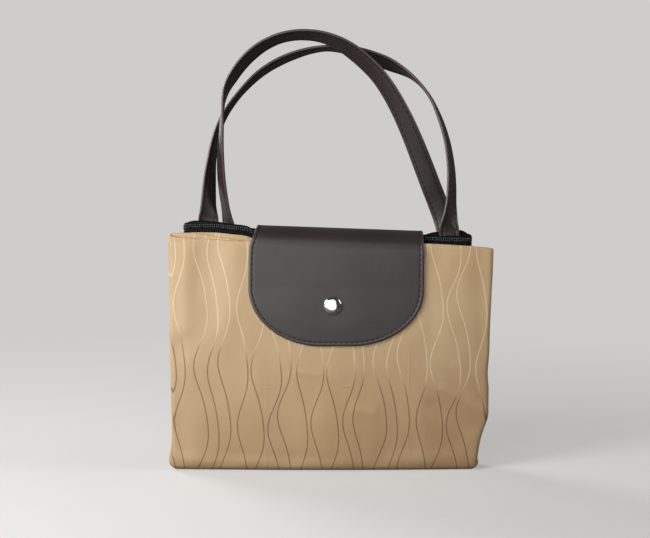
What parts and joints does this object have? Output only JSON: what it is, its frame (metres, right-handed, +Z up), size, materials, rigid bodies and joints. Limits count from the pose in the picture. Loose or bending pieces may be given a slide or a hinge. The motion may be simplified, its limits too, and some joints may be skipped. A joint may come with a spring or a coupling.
{
  "type": "folded shopping bag",
  "caption": "Fabric shopping bag folded for storage and standing upright, with strap handles, a zip mouth and a flap closed by a snap.",
  "frame": {"origin": "on the flat base, below the middle of the folded bag", "axes": "+X to the viewer's right across the front, +Y to the back, where the flap and the zip are sewn, +Z up towards the handles"},
  "size_m": [0.2888, 0.0507, 0.3889],
  "materials": {
    "bag_cloth": "smooth coated synthetic cloth, beige, with thin wavy lines",
    "zip_tape": "black woven tape with a black coil",
    "brown_leather": "dark brown, smooth and half matt, stitched along its edges",
    "snap_metal": "polished dome"
  },
  "bodies": {
    "root": {"bag_cloth": "bag_cloth", "zip": "zip_tape", "handle_front": "brown_leather", "handle_back": "brown_leather", "flap": "brown_leather", "snap_cap": "snap_metal"}
  },
  "joints": []
}
